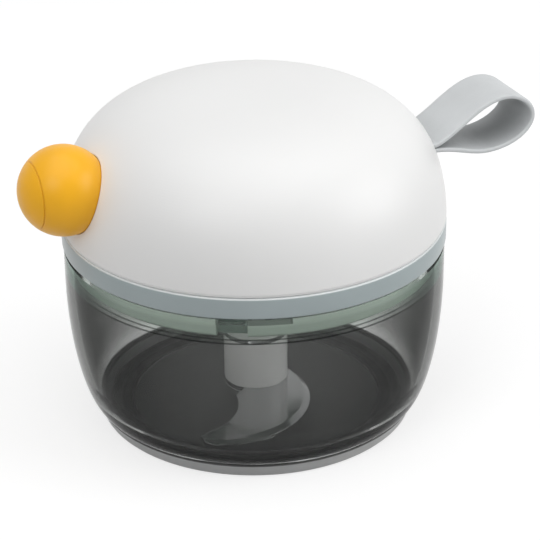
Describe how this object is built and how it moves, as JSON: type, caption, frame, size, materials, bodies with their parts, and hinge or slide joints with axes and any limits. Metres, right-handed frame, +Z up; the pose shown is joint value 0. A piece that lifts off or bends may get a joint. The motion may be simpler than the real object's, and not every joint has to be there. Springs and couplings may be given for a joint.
{
  "type": "pull-string garlic chopper",
  "caption": "Small hand chopper: smoke-clear cup with a sickle blade on a column, twist-lock white domed lid with cord reel, yellow pull ball and grey holding loop.",
  "frame": {"origin": "middle of the foot pad's underside, on the cup's axis", "axes": "+Z up along the cup's axis, -X towards the pull ball, +X towards the holding loop"},
  "size_m": [0.1329, 0.0942, 0.083],
  "materials": {
    "smoke_clear": "clear smoke-tinted, polished",
    "pad_grey": "satin, soft",
    "steel": "plain drawn",
    "blade_steel": "polished, with a ground bevel",
    "hub_white": "satin",
    "seal_grey": "satin",
    "dome_white": "fine satin",
    "collar_blue_grey": "satin",
    "insert_pale_green": "satin",
    "bush_brass": "turned",
    "mechanism_ivory": "moulded",
    "mechanism_grey": "moulded",
    "mechanism_dark": "moulded",
    "spring_steel": "blued strip",
    "cord_white": "braided",
    "knob_yellow": "satin",
    "strap_grey": "satin silicone"
  },
  "bodies": {
    "cup_body": {"cup": "smoke_clear", "base_pad": "pad_grey", "pivot_pin": "steel"},
    "seal_body": {"lid_seal": "seal_grey"},
    "lid_body": {"dome_cover": "dome_white", "collar_ring": "collar_blue_grey", "lid_base": "insert_pale_green", "shaft_bush": "bush_brass", "reel_axle": "steel", "main_spring": "spring_steel", "spring_case": "mechanism_grey", "mechanism_frame": "mechanism_grey", "frame_screws": "steel", "dome_screws": "steel", "pull_cord": "cord_white", "cord_guide": "mechanism_grey", "strap_loop": "strap_grey", "strap_pin": "steel"},
    "knob_body": {"knob_shell": "knob_yellow", "knob_cap": "knob_yellow", "cord_stop": "steel"},
    "reel_body": {"cord_reel": "mechanism_grey", "clutch_pawls": "mechanism_dark"},
    "drive_body": {"drive_shaft": "hub_white", "ratchet_wheel": "mechanism_ivory"},
    "blade_body": {"blade_hub": "hub_white", "chopping_blade": "blade_steel"}
  },
  "joints": [
    {"name": "lid_lift", "type": "slide", "parent": "cup_body", "child": "seal_body", "axis": [0, 0, 1], "range_m": [0, 0.08]},
    {"name": "lid_twist", "type": "hinge", "parent": "seal_body", "child": "lid_body", "pos_m": [0, 0, 0.046], "axis": [0, 0, -1], "range_deg": [0, 13.5]},
    {"name": "knob_pull", "type": "slide", "parent": "lid_body", "child": "knob_body", "axis": [-1, 0, 0], "range_m": [0, 0.24], "stiffness_N_per_m": 25, "springref_m": -0.15, "deforming": ["pull_cord"]},
    {"name": "reel_spin", "type": "hinge", "parent": "lid_body", "child": "reel_body", "pos_m": [0, 0, 0.0669], "axis": [0, 0, 1], "range_deg": [0, 880], "deforming": ["main_spring"]},
    {"name": "drive_spin", "type": "hinge", "parent": "lid_body", "child": "drive_body", "pos_m": [0, 0, 0.05], "axis": [0, 0, 1], "range_deg": [0, 880]},
    {"name": "blade_spin", "type": "hinge", "parent": "cup_body", "child": "blade_body", "pos_m": [0, 0, 0.007], "axis": [0, 0, 1], "range_deg": [0, 880]}
  ],
  "couplings": [
    {"joint": "reel_spin", "follows": "knob_pull", "rad_per_m": 63.898},
    {"joint": "drive_spin", "follows": "knob_pull", "rad_per_m": 63.898},
    {"joint": "blade_spin", "follows": "knob_pull", "rad_per_m": 63.898}
  ]
}
